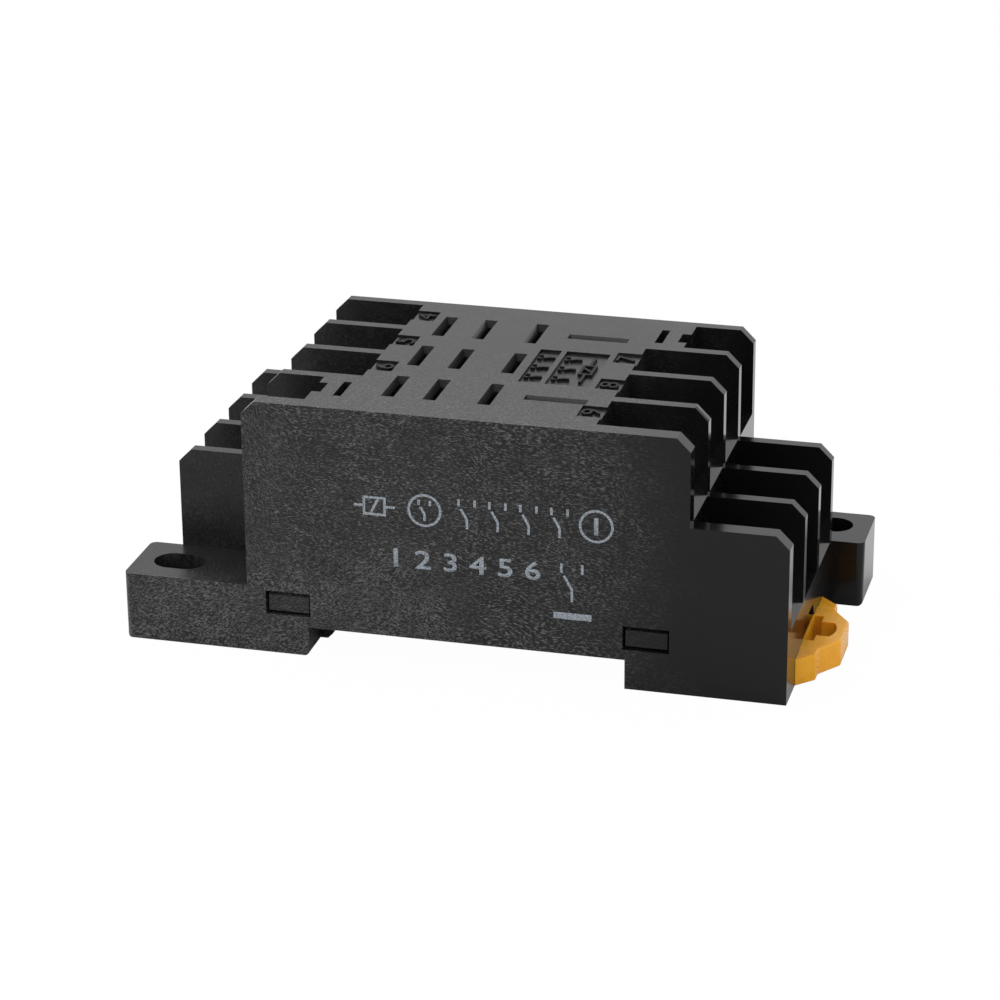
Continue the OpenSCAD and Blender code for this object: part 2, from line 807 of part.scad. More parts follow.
// A pan-head screw with a straight slot and a cross recess
module terminal_screw(t) {
    z = t_floor(t) + plate_t + washer_t;
    tip = 0.5;
    dome = 0.5;
    slot_t = 0.8;
    cross_w = 3.2;
    cross_h = 1.5;
    color(plated)
        translate([t_screw_x(t), bay_y(t_bay(t)), z])
            difference() {
                rotate_extrude($fn = fine)
                    polygon([
                        [0, -screw_len],
                        [thread_r - tip, -screw_len],
                        [thread_r, -screw_len + tip],
                        [thread_r, 0],
                        [head_d / 2, 0],
                        [head_d / 2, head_h - dome],
                        [head_d / 2 - dome, head_h],
                        [0, head_h]
                    ]);
                translate([-head_d / 2 - over, -slot_t / 2, head_h - 1])
                    cube([head_d + 2 * over, slot_t, 1 + over]);
                for (a = [45, 135])
                    rotate([0, 0, a])
                        translate([-cross_w / 2, -slot_t / 2, head_h - cross_h])
                            cube([cross_w, slot_t, cross_h + over]);
            }
}

housing();
base_plate();
rail_clip();
for (t = TERMINALS) {
    contact(t);
    clamp_washer(t);
    terminal_screw(t);
}
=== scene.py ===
"""Looks of an eleven-terminal relay socket with a sprung rail clip."""

import math

import bmesh
import bpy
from bpy.props import FloatProperty, FloatVectorProperty, PointerProperty
from mathutils import Matrix, Vector


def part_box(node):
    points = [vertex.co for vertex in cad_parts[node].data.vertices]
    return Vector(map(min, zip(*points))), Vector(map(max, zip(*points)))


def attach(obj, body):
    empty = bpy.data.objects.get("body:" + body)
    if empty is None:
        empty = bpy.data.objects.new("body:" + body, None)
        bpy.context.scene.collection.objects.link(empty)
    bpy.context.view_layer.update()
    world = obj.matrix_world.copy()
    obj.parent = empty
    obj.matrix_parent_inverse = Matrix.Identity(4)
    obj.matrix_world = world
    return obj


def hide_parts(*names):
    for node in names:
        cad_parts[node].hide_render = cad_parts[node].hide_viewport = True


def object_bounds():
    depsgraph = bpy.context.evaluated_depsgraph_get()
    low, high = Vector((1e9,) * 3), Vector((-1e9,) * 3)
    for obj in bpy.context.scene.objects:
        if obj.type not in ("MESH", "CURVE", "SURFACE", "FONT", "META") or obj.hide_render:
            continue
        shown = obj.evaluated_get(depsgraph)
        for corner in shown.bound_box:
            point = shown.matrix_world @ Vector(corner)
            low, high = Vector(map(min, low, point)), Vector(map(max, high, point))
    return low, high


bl_info = {
    "name": "Relay Socket Finishes",
    "version": (1, 0, 0),
    "blender": (4, 5, 0),
    "location": "3D View > Sidebar > Socket",
    "description": "Dresses a screw-terminal relay socket and sets up its studio",
    "category": "Object",
}

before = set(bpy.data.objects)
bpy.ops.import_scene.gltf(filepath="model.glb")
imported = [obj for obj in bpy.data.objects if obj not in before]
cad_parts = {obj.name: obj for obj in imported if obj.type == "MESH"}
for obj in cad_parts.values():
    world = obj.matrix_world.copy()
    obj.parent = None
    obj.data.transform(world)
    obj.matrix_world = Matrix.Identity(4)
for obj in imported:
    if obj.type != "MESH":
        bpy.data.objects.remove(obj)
CAD_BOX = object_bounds()

MM = 0.001
BODY = "socket"
TERMINALS = range(1, 12)
UPPER_TERMINALS = range(4, 10)


# ---------------------------------------------------------------- places

def low_corner(node):
    """Lowest corner of a solid."""
    return Vector(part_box(node)[0])


def high_corner(node):
    """Highest corner of a solid."""
    return Vector(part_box(node)[1])


def centre_of(node):
    """Middle of a solid's box."""
    return (low_corner(node) + high_corner(node)) / 2


def screw_place(number):
    """Middle of a terminal's clamp washer, which the screw shares."""
    return centre_of(f"clamp_washer_{number}")


# ---------------------------------------------------------------- settings

class SocketSizes(bpy.types.PropertyGroup):
    """Sizes of the details that dress the socket."""

    moulding_edge: FloatProperty(
        name="Moulding edge",
        description="Width of the soft edge on the black mouldings",
        default=0.09 * MM,
        unit="LENGTH",
    )
    clip_edge: FloatProperty(
        name="Clip edge",
        description="Width of the soft edge on the rail clip",
        default=0.28 * MM,
        unit="LENGTH",
    )
    hole_edge: FloatProperty(
        name="Hole edge",
        description="Width of the soft edge round the rail clip's keyhole",
        default=0.06 * MM,
        unit="LENGTH",
    )
    tab_reach: FloatProperty(
        name="Tab reach",
        description="How far the rail clip's pull tab stands out of the end wall",
        default=4 * MM,
        unit="LENGTH",
    )
    keyhole: FloatVectorProperty(
        name="Keyhole",
        description="Reach and width of the keyhole's place in the pull tab",
        default=(3.2 * MM, 6.8 * MM),
        size=2,
        unit="LENGTH",
    )
    metal_edge: FloatProperty(
        name="Metal edge",
        description="Width of the soft edge on stamped and turned metal",
        default=0.05 * MM,
        unit="LENGTH",
    )
    number_height: FloatProperty(
        name="Number height",
        description="Height of a terminal number's figures",
        default=2.1 * MM,
        unit="LENGTH",
    )
    number_inset: FloatProperty(
        name="Number inset",
        description="Distance from the middle of the socket to the middle of a terminal number",
        default=12.7 * MM,
        unit="LENGTH",
    )
    number_relief: FloatProperty(
        name="Number relief",
        description="Height of the raised numbers and symbols in their sunken fields",
        default=0.29 * MM,
        unit="LENGTH",
    )
    field_depth: FloatProperty(
        name="Field depth",
        description="Depth of the sunken fields in the top face",
        default=0.3 * MM,
        unit="LENGTH",
    )
    symbol_line: FloatProperty(
        name="Symbol line",
        description="Width of the lines of the raised symbols",
        default=0.32 * MM,
        unit="LENGTH",
    )
    print_line: FloatProperty(
        name="Print line",
        description="Width of the printed lines on the front wall",
        default=0.28 * MM,
        unit="LENGTH",
    )
    print_film: FloatProperty(
        name="Print film",
        description="Thickness of the printed ink",
        default=0.012 * MM,
        unit="LENGTH",
    )


class SocketColours(bpy.types.PropertyGroup):
    """Colours of the socket's finishes, as scene-linear values."""

    moulding: FloatVectorProperty(
        name="Moulding",
        description="Resin of the black mouldings",
        subtype="COLOR",
        size=3,
        default=(0.005, 0.005, 0.0054),
    )
    fibre: FloatVectorProperty(
        name="Fibre",
        description="Glass fibres that show at the moulding's surface",
        subtype="COLOR",
        size=3,
        default=(0.12, 0.12, 0.122),
    )
    clip: FloatVectorProperty(
        name="Clip",
        description="Amber resin of the rail clip",
        subtype="COLOR",
        size=3,
        default=(0.8, 0.38, 0.025),
    )
    ink: FloatVectorProperty(
        name="Ink",
        description="Pale ink of the front print",
        subtype="COLOR",
        size=3,
        default=(0.31, 0.35, 0.39),
    )
    contact: FloatVectorProperty(
        name="Contact",
        description="Brass of the contacts",
        subtype="COLOR",
        size=3,
        default=(0.78, 0.6, 0.31),
    )
    plating: FloatVectorProperty(
        name="Plating",
        description="Zinc plating of screws and washers",
        subtype="COLOR",
        size=3,
        default=(0.72, 0.73, 0.74),
    )


class SocketStudio(bpy.types.PropertyGroup):
    """Camera, lamps and backdrop."""

    camera_place: FloatVectorProperty(
        name="Camera place",
        description="Place of the camera",
        subtype="TRANSLATION",
        unit="LENGTH",
        size=3,
        default=(0.09135, -0.34618, 0.15648),
    )
    camera_turn: FloatVectorProperty(
        name="Camera turn",
        description="Rotation of the camera about X, Y and Z",
        subtype="EULER",
        unit="ROTATION",
        size=3,
        default=(math.radians(67.704), math.radians(0.437), math.radians(14.711)),
    )
    camera_range: FloatVectorProperty(
        name="Camera range",
        description="Nearest and farthest distance that the camera sees",
        unit="LENGTH",
        size=2,
        default=(0.01, 20),
    )
    lens: FloatProperty(
        name="Lens",
        description="Focal length on a 36 mm sensor, in millimetres",
        default=124.3,
        min=20,
        max=300,
    )
    floor_size: FloatProperty(
        name="Floor size",
        description="Side of the pale floor",
        default=6,
        unit="LENGTH",
    )
    floor_colour: FloatVectorProperty(
        name="Floor colour",
        description="Colour of the floor under its share of plain white",
        subtype="COLOR",
        size=3,
        default=(0.82, 0.82, 0.82),
    )
    white: FloatProperty(
        name="White",
        description="Share of plain white in the floor as the camera sees it",
        default=0.98,
        min=0,
        max=1,
    )
    gloss_white: FloatProperty(
        name="Gloss white",
        description="Share of plain white in the floor as gloss and glass see it",
        default=0.05,
        min=0,
        max=1,
    )
    key_place: FloatVectorProperty(
        name="Key place",
        description="Place of the large soft lamp",
        subtype="TRANSLATION",
        unit="LENGTH",
        size=3,
        default=(-0.25, -0.15, 0.55),
    )
    key_size: FloatProperty(
        name="Key size",
        description="Side of the large soft lamp",
        default=0.5,
        unit="LENGTH",
    )
    key_power: FloatProperty(
        name="Key power",
        description="Power of the large soft lamp over the socket",
        default=1.6,
        min=0,
        unit="POWER",
    )
    fill_level: FloatProperty(
        name="Fill level",
        description="Strength of the even light from all round",
        default=0.95,
        min=0,
    )


def sizes():
    return bpy.context.scene.socket_sizes


def colours():
    return bpy.context.scene.socket_colours


def studio():
    return bpy.context.scene.socket_studio


# ---------------------------------------------------------------- node helpers

MIX_COLOURS = (6, 7)  # colour inputs of the mix node
MIX_RESULT = 2  # colour output of the mix node


def new_material(name):
    """An empty node material with a principled shader, and that shader."""
    material = bpy.data.materials.new(name)
    material.use_nodes = True
    return material, material.node_tree.nodes["Principled BSDF"]


def add(material, kind, **inputs):
    """A node of the given kind with some of its inputs set."""
    node = material.node_tree.nodes.new(kind)
    for name, value in inputs.items():
        node.inputs[name].default_value = value
    return node


def link(material, source, target):
    material.node_tree.links.new(source, target)


def object_place(material):
    """Object coordinates."""
    return add(material, "ShaderNodeTexCoord").outputs["Object"]


def in_millimetres(material, scale=(1, 1, 1)):
    """Object coordinates in millimetres, stretched along each axis."""
    mapping = add(material, "ShaderNodeMapping", Scale=[s / MM for s in scale])
    link(material, object_place(material), mapping.inputs["Vector"])
    return mapping.outputs["Vector"]


def noise(material, vector, scale, detail=2.0, roughness=0.5, distortion=0.0):
    """Soft noise between 0 and 1."""
    node = add(
        material, "ShaderNodeTexNoise",
        Scale=scale, Detail=detail, Roughness=roughness, Distortion=distortion,
    )
    link(material, vector, node.inputs["Vector"])
    return node.outputs["Fac"]


def remap(material, value, low, high, to_low=0.0, to_high=1.0):
    """Eases a value from one range to another, and holds it at the ends."""
    limits = {"From Min": low, "From Max": high, "To Min": to_low, "To Max": to_high}
    node = add(material, "ShaderNodeMapRange", **limits)
    node.interpolation_type = "SMOOTHSTEP"
    link(material, value, node.inputs["Value"])
    return node.outputs["Result"]


def stretched(material, value, to_low=0.0, to_high=1.0):
    """Stretches the middle of a noise to a range."""
    return remap(material, value, 0.3, 0.7, to_low, to_high)


def maths(material, operation, first, second):
    node = add(material, "ShaderNodeMath")
    node.operation = operation
    for socket, value in zip(node.inputs, (first, second)):
        if isinstance(value, (int, float)):
            socket.default_value = value
        else:
            link(material, value, socket)
    return node.outputs["Value"]


def times(material, first, second):
    return maths(material, "MULTIPLY", first, second)


def plus(material, first, second):
    return maths(material, "ADD", first, second)


def larger(material, first, second):
    return maths(material, "MAXIMUM", first, second)


def blend_colours(material, share, first, second):
    """Mixes two colours by a share."""
    node = add(material, "ShaderNodeMix")
    node.data_type = "RGBA"
    link(material, share, node.inputs["Factor"])
    for index, value in zip(MIX_COLOURS, (first, second)):
        if hasattr(value, "is_output"):
            link(material, value, node.inputs[index])
        else:
            node.inputs[index].default_value = (*value, 1)
    return node.outputs[MIX_RESULT]


def shade(colour, *factors):
    """A colour times one factor, or times one for each channel."""
    return [c * f for c, f in zip(colour, factors * 3)]


def paint(material, shader, colour, roughness):
    """Gives a shader its colour and roughness."""
    link(material, colour, shader.inputs["Base Color"])
    link(material, roughness, shader.inputs["Roughness"])


def bump(material, shader, height, distance, strength):
    """Roughs up a surface by a height, over a distance in metres."""
    node = add(material, "ShaderNodeBump", Strength=strength, Distance=distance)
    link(material, height, node.inputs["Height"])
    link(material, node.outputs["Normal"], shader.inputs["Normal"])


# ---------------------------------------------------------------- finishes

def swirled(material, reach, spread):
    """Object coordinates pushed about by slow swirls, as the resin was when it filled the mould."""
    place = object_place(material)
    slow = add(material, "ShaderNodeTexNoise", Scale=1 / (spread * MM), Detail=1)
    link(material, place, slow.inputs["Vector"])
    push = add(material, "ShaderNodeVectorMath")
    push.operation = "MULTIPLY_ADD"
    push.inputs[1].default_value = (reach * MM,) * 3
    link(material, slow.outputs["Color"], push.inputs[0])
    link(material, place, push.inputs[2])
    return push.outputs["Vector"]


def strokes(material, place, length, width, slant, low=0.47, high=0.72):
    """Short fibres of one slant, in millimetres and degrees."""
    mapping = add(
        material, "ShaderNodeMapping",
        Rotation=(0, math.radians(slant), 0), Scale=(length * MM, width * MM, width * MM),
    )
    mapping.vector_type = "TEXTURE"
    link(material, place, mapping.inputs["Vector"])
    grain = noise(material, mapping.outputs["Vector"], 1.0, roughness=0.6)
    return remap(material, grain, low, high)


def along(material, axis, wander=0.0):
    """Place along one axis of the socket, in millimetres, with a wandering border."""
    split = add(material, "ShaderNodeSeparateXYZ")
    link(material, object_place(material), split.inputs["Vector"])
    place = maths(material, "DIVIDE", split.outputs[axis], MM)
    if not wander:
        return place
    drift = noise(material, in_millimetres(material), 0.12, detail=3)
    return plus(material, place, times(material, drift, wander))


def fibre_streaks(material):
    """Short pale fibres: upright at the far end, slanting lower down, and level along the rest."""
    place = swirled(material, 2.6, 6.0)
    upright = strokes(material, place, 0.42, 0.13, 72)
    slanting = strokes(material, place, 0.42, 0.13, -34)
    level = strokes(material, place, 0.44, 0.13, 6)

    across = along(material, "X", 16)
    height = along(material, "Z", 8)
    far_end = remap(material, across, -18, -8, 1, 0)
    above_foot = remap(material, height, 8, 13)
    first_half = remap(material, across, 2, 12, 1, 0)
    below_top = remap(material, height, 10, 16, 1, 0.25)
    far = times(material, far_end, above_foot)
    low = times(material, first_half, below_top)

    upright = times(material, upright, far)
    slanting = times(material, slanting, maths(material, "SUBTRACT", low, far))
    level = times(material, level, remap(material, far, 0, 1, 1, 0.55))
    layers = larger(material, larger(material, upright, slanting), level)
    cloud = noise(material, in_millimetres(material), 0.3, detail=3)
    return times(material, layers, remap(material, cloud, 0.3, 0.62, 0.6, 1))


def shown(material):
    """Fibres show on the two long walls, and hardly inside the bays and slots: their fading there
    is painted shade.
    """
    wall = high_corner("housing").y / MM
    depth = along(material, "Y")
    walls = remap(material, maths(material, "ABSOLUTE", depth, 0.0), wall - 0.3, wall - 0.1)
    # Further back on the fins the fibres fade more: painted shade deeper in the bays.
    painted_fin_shade = remap(material, depth, -17, -12, 0.5, 0.22)
    return larger(material, walls, painted_fin_shade)


def top_grain(material):
    """Fine fibres that lie in the top face, and show most towards the printed wall."""
    face = high_corner("housing").z / MM
    grains = strokes(material, swirled(material, 2.0, 5.0), 0.3, 0.2, 0, 0.46, 0.7)
    top = remap(material, along(material, "Z"), face - 0.07, face - 0.01)
    near = remap(material, along(material, "Y", 8), -14, 12, 1, 0.3)
    return times(material, grains, times(material, top, near))


def fibre_filled(name):
    """Black fibre-filled resin: satin and streaked at one end, with a glossy skin at the other."""
    material, shader = new_material(name)
    look = colours()
    flow = remap(material, along(material, "X", 14), 17, 33, 1, 0)
    # shown() dims the pale fibres inside the bays and slots: painted shade.
    fibres = times(material, fibre_streaks(material), shown(material))
    fibres = times(material, larger(material, fibres, top_grain(material)), flow)
    grain = noise(material, in_millimetres(material), 6.0, detail=3, roughness=0.7)

    cloud = remap(material, noise(material, in_millimetres(material), 0.35), 0.35, 0.65, 0.5, 1)
    cloudy = times(material, cloud, flow)
    resin = blend_colours(material, cloudy, look.moulding, shade(look.moulding, 2.2))
    skin = plus(material, stretched(material, grain, 0.13, 0.18), times(material, flow, 0.16))
    rough = plus(material, skin, times(material, fibres, 0.15))
    paint(material, shader, blend_colours(material, fibres, resin, look.fibre), rough)
    shader.inputs["IOR"].default_value = 1.5
    shader.inputs["Specular Tint"].default_value = (0.4, 0.4, 0.4, 1)

    relief = plus(material, times(material, grain, 0.3), fibres)
    relief = times(material, relief, plus(material, flow, 0.06))
    bump(material, shader, relief, 0.03 * MM, 0.6)
    return material


def raised_black(name):
    """The same resin on the raised numbers and symbols, which are cut matt in the mould."""
    material, shader = new_material(name)
    resin = colours().moulding
    grain = noise(material, in_millimetres(material), 9.0, detail=3, roughness=0.7)
    colour = blend_colours(material, grain, resin, shade(resin, 1.8))
    paint(material, shader, colour, stretched(material, grain, 0.4, 0.55))
    shader.inputs["IOR"].default_value = 1.25
    bump(material, shader, grain, 0.01 * MM, 0.4)
    return material


def amber_resin(name):
    """Amber resin of the rail clip: slightly clear, with a soft gloss and faint flow marks."""
    material, shader = new_material(name)
    amber = colours().clip
    stretch = in_millimetres(material, (0.35, 1.2, 0.8))
    flow = stretched(material, noise(material, stretch, 1.0, detail=4, distortion=0.8))
    grain = noise(material, in_millimetres(material), 6.0, detail=3)
    colour = blend_colours(material, flow, shade(amber, 0.93, 0.88, 0.7), amber)
    paint(material, shader, colour, stretched(material, grain, 0.22, 0.3))
    shader.inputs["IOR"].default_value = 1.5
    shader.inputs["Specular Tint"].default_value = (0.8, 0.6, 0.35, 1)
    shader.inputs["Subsurface Weight"].default_value = 0.4
    shader.inputs["Subsurface Radius"].default_value = (1, 0.35, 0.08)
    shader.inputs["Subsurface Scale"].default_value = 0.6 * MM
    bump(material, shader, grain, 0.003 * MM, 0.15)
    return material


def worn_ink(name):
    """Pale pad-printed ink, thin and slightly broken where it sits on the fibres."""
    material, shader = new_material(name)
    ink = colours().ink
    stretch = in_millimetres(material, (1, 1, 1.6))
    breaks = noise(material, stretch, 5.0, detail=3, roughness=0.6)
    colour = blend_colours(material, remap(material, breaks, 0.38, 0.6), shade(ink, 0.3), ink)
    paint(material, shader, colour, stretched(material, breaks, 0.55, 0.7))
    return material


def stamped_brass(name):
    """Rolled brass strip with fine rolling lines."""
    material, shader = new_material(name)
    brass = colours().contact
    lines = noise(material, in_millimetres(material, (0.5, 9, 9)), 1.0, detail=4)
    tarnish = stretched(material, noise(material, in_millimetres(material), 0.4, detail=3))
    colour = blend_colours(material, tarnish, shade(brass, 0.7, 0.66, 0.6), brass)
    paint(material, shader, colour, stretched(material, lines, 0.25, 0.42))
    shader.inputs["Metallic"].default_value = 1
    bump(material, shader, lines, 0.004 * MM, 0.4)
    return material


def zinc_plate(name):
    """Zinc-plated steel with a fine turned grain."""
    material, shader = new_material(name)
    plating = colours().plating
    grain = noise(material, in_millimetres(material, (7, 7, 2)), 1.0, detail=4)
    cloud = stretched(material, noise(material, in_millimetres(material), 0.8))
    colour = blend_colours(material, cloud, shade(plating, 0.8), plating)
    paint(material, shader, colour, stretched(material, grain, 0.2, 0.38))
    shader.inputs["Metallic"].default_value = 1
    bump(material, shader, grain, 0.004 * MM, 0.4)
    return material


def finish(name, maker):
    """A finish by name, made once."""
    return bpy.data.materials.get(name) or maker(name)


# ---------------------------------------------------------------- pieces

ONE_PLANE = math.radians(0.5)
SHARP_FOLD = math.radians(40)


def join_flat(piece, name):
    """Joins neighbouring faces that lie in one plane."""
    flat = piece.modifiers.new(name, "DECIMATE")
    flat.decimate_type = "DISSOLVE"
    flat.angle_limit = ONE_PLANE


def soften(piece, width, segments):
    """Gives a solid's sharp edges a small round. Triangles keep large faces whole under it."""
    weld = piece.modifiers.new("Join", "WELD")
    weld.merge_threshold = 0.0001 * MM
    join_flat(piece, "Flat faces")
    piece.modifiers.new("Triangles", "TRIANGULATE")
    edge = piece.modifiers.new("Soft edges", "BEVEL")
    edge.width = width
    edge.segments = segments
    edge.limit_method = "ANGLE"
    edge.angle_limit = SHARP_FOLD
    edge.use_clamp_overlap = True
    join_flat(piece, "Level faces")


def dress(node, material, width, segments=2):
    """Gives a solid its finish and its soft edges."""
    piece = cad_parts[node]
    piece.data.materials.clear()
    piece.data.materials.append(material)
    soften(piece, width, segments)


def new_piece(name, mesh, material, body=BODY):
    """A finished piece that rides on a body."""
    mesh.materials.clear()
    mesh.materials.append(material)
    piece = bpy.data.objects.new(name, mesh)
    bpy.context.scene.collection.objects.link(piece)
    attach(piece, body)
    return piece


SAME_POINT = 0.0005  # share of the font's size
CURVE_STEPS = 6  # points between the control points of a figure's outline
RING_SIDES = 40
SHARPEST_MITRE = 0.3  # cosine of half the turn between two strokes


def figures(text, height, weight, stretch):
    """Figures as a flat mesh on the XY plane, centred on the origin and stretched sideways."""
    curve = bpy.data.curves.new("figures", "FONT")
    curve.body = text
    curve.align_x = "CENTER"
    curve.size = 1
    curve.offset = weight
    curve.resolution_u = CURVE_STEPS
    holder = bpy.data.objects.new("figures", curve)
    bpy.context.scene.collection.objects.link(holder)
    bpy.context.view_layer.update()
    mesh = bpy.data.meshes.new_from_object(holder)
    bpy.data.objects.remove(holder)
    bm = bmesh.new()
    bm.from_mesh(mesh)
    bpy.data.meshes.remove(mesh)
    bmesh.ops.remove_doubles(bm, verts=bm.verts, dist=SAME_POINT)
    low = Vector([min(v.co[i] for v in bm.verts) for i in range(3)])
    high = Vector([max(v.co[i] for v in bm.verts) for i in range(3)])
    bmesh.ops.translate(bm, verts=bm.verts, vec=(low + high) / -2)
    factor = height / (high.y - low.y)
    bmesh.ops.scale(bm, verts=bm.verts, vec=(factor * stretch, factor, 1))
    return bm


class Pen:
    """Draws strokes, rings and figures flat on the XY plane, then raises them all together."""

    def __init__(self, line):
        self.bm = bmesh.new()
        self.line = line

    def path(self, points, closed=False, width=None):
        """A run of strokes with mitred corners and square ends, drawn out from its first edge."""
        points = [Vector(p) for p in points]
        last = len(points) - 1
        half = (width or self.line) / 2
        edge = None
        for i, point in enumerate(points):
            following = points[(i + 1) % len(points)]
            before = (point - points[i - 1]).normalized() if i or closed else None
            after = (following - point).normalized() if i < last or closed else None
            before, after = before or after, after or before
            along = (before + after).normalized()
            reach = half / max(along.dot(after), SHARPEST_MITRE)
            side = Vector((-along.y, along.x)) * reach
            if edge is None:
                ends = [self.bm.verts.new((0, 0, 0)) for _ in range(2)]
                edge = first = self.bm.edges.new(ends)
            else:
                made = bmesh.ops.extrude_edge_only(self.bm, edges=[edge])["geom"]
                edge = next(
                    e for e in made
                    if isinstance(e, bmesh.types.BMEdge) and not e.is_wire
                    and all(v in made for v in e.verts)
                )
                ends = self.matched(made, ends)
            for vert, way in zip(ends, (1, -1)):
                vert.co = (*(point + side * way), 0)
        if closed:
            bmesh.ops.bridge_loops(self.bm, edges=[edge, first])

    def matched(self, made, ends):
        """The new ends of a stroke, in the order of the old ones."""
        new = [v for v in made if isinstance(v, bmesh.types.BMVert)]
        if not any(new[0] in e.verts for e in ends[0].link_edges):
            new.reverse()
        return new

    def frame(self, centre, width, height):
        """The outline of a box, by its outer size."""
        w, h = (width - self.line) / 2, (height - self.line) / 2
        x, y = centre
        corners = [(x - w, y - h), (x + w, y - h), (x + w, y + h), (x - w, y + h)]
        self.path(corners, closed=True)

    def ring(self, centre, radius):
        """A round stroke, by its outer radius."""
        loops = []
        for r in (radius, radius - self.line):
            made = bmesh.ops.create_circle(self.bm, segments=RING_SIDES, radius=r)["verts"]
            bmesh.ops.translate(self.bm, verts=made, vec=(*centre, 0))
            loops += {e for v in made for e in v.link_edges}
        bmesh.ops.bridge_loops(self.bm, edges=loops)

    def figure(self, text, centre, height, weight=0.015, stretch=1.3):
        """Figures centred on a point."""
        made = figures(text, height, weight, stretch)
        bmesh.ops.translate(made, verts=made.verts, vec=(*centre, 0))
        mesh = bpy.data.meshes.new("figure")
        made.to_mesh(mesh)
        made.free()
        self.bm.from_mesh(mesh)
        bpy.data.meshes.remove(mesh)

    def mesh(self, name, thickness, place):
        """The finished drawing as raised solids, moved to its place."""
        raised = bmesh.ops.extrude_face_region(self.bm, geom=self.bm.faces[:])["geom"]
        top = [v for v in raised if isinstance(v, bmesh.types.BMVert)]
        bmesh.ops.translate(self.bm, verts=top, vec=(0, 0, thickness))
        bmesh.ops.recalc_face_normals(self.bm, faces=self.bm.faces)
        bmesh.ops.transform(self.bm, matrix=place, verts=self.bm.verts)
        mesh = bpy.data.meshes.new(name)
        self.bm.to_mesh(mesh)
        self.bm.free()
        return mesh


def change_over(pen, centre, height):
    """A change-over contact: a lead with a slanting blade under two fixed contacts."""
    x, y = centre
    half = height / 2
    spread = height * 0.26
    blade = half * 0.35
    pen.path([(x, y - half), (x, y - blade), (x - spread * 0.75, y + blade)])
    for side in (-1, 1):
        pen.path([(x + side * spread, y + half), (x + side * spread, y + half * 0.5)])


def coil(pen, centre, width, height, leads):
    """A relay coil: a box with a slanting line, between two leads."""
    x, y = centre
    pen.frame(centre, width, height)
    slant_x, slant_y = (width / 2 - pen.line * 1.6) * 0.5, height / 2 - pen.line
    pen.path([(x - slant_x, y - slant_y), (x + slant_x, y + slant_y)])
    for side in (-1, 1):
        pen.path([(x + side * width / 2, y), (x + side * (width / 2 + leads), y)])


def raise_in_field(pen, name, x, y):
    """Raises a drawing from the floor of a sunken field in the top face, turned along the field."""
    floor = high_corner("housing").z - sizes().field_depth
    place = Matrix.Translation((x, y, floor)) @ Matrix.Rotation(math.radians(90), 4, "Z")
    raised = pen.mesh(name, sizes().number_relief, place)
    new_piece(name, raised, finish("raised_black", raised_black))


# ---------------------------------------------------------------- operators

class SOCKET_OT_mouldings(bpy.types.Operator):
    """Dress the housing and the base plate in black fibre-filled resin"""

    bl_idname = "socket.mouldings"
    bl_label = "Black mouldings"

    def execute(self, context):
        black = finish("fibre_filled_black", fibre_filled)
        for node in ("housing", "base_plate"):
            dress(node, black, sizes().moulding_edge)
        return {"FINISHED"}


class SOCKET_OT_rail_clip(bpy.types.Operator):
    """Round the pull tab's edges outside the end wall and dress the rail clip in amber resin"""

    bl_idname = "socket.rail_clip"
    bl_label = "Rail clip"

    sharp_above: FloatProperty(
        name="Sharp above", description="Edges that fold by more than this are rounded",
        default=math.radians(30), unit="ROTATION",
    )
    smooth_below: FloatProperty(
        name="Smooth below", description="Edges that fold by less than this are shaded smooth",
        default=math.radians(35), unit="ROTATION",
    )
    sharp_root: FloatProperty(
        name="Sharp root", description="How far the tab's edges stay sharp from the end wall",
        default=0.12 * MM, unit="LENGTH",
    )

    def execute(self, context):
        size = sizes()
        wall = high_corner("rail_clip").x - size.tab_reach
        middle = centre_of("rail_clip").y
        bm = bmesh.new()
        bm.from_mesh(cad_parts["rail_clip"].data)
        bmesh.ops.remove_doubles(bm, verts=bm.verts, dist=0.001 * MM)
        bmesh.ops.dissolve_limit(bm, angle_limit=ONE_PLANE, verts=bm.verts, edges=bm.edges)
        for inside, width, segments in ((True, size.hole_edge, 2), (False, size.clip_edge, 4)):
            edges = [e for e in self.sharp(bm, wall) if self.in_keyhole(e, wall, middle) is inside]
            bmesh.ops.bevel(
                bm, geom=edges, offset=width, offset_type="OFFSET", segments=segments,
                profile=0.5, affect="EDGES", clamp_overlap=inside, material=-1,
            )
        for face in bm.faces:
            face.smooth = True
        for edge in bm.edges:
            edge.smooth = edge.calc_face_angle(0) < self.smooth_below
        mesh = bpy.data.meshes.new("amber_clip")
        bm.to_mesh(mesh)
        bm.free()
        amber = finish("amber_resin", amber_resin)
        clip = new_piece("amber_clip", mesh, amber, "rail_clip")
        even = clip.modifiers.new("Even shading", "WEIGHTED_NORMAL")
        even.keep_sharp = True
        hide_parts("rail_clip")
        return {"FINISHED"}

    def sharp(self, bm, wall):
        """Sharp edges of the pull tab outside the end wall."""
        root = wall + self.sharp_root
        return [
            e for e in bm.edges
            if e.calc_face_angle(0) > self.sharp_above and sum(v.co.x for v in e.verts) / 2 > root
        ]

    def in_keyhole(self, edge, wall, middle):
        """Whether an edge lies round the keyhole, from the wall out and about the tab's middle."""
        reach, width = sizes().keyhole
        return all(v.co.x < wall + reach and abs(v.co.y - middle) < width / 2 for v in edge.verts)


class SOCKET_OT_contacts(bpy.types.Operator):
    """Dress the contacts in stamped brass"""

    bl_idname = "socket.contacts"
    bl_label = "Contacts"

    def execute(self, context):
        brass = finish("stamped_brass", stamped_brass)
        for number in TERMINALS:
            dress(f"terminal_{number}", brass, sizes().metal_edge, 1)
        return {"FINISHED"}


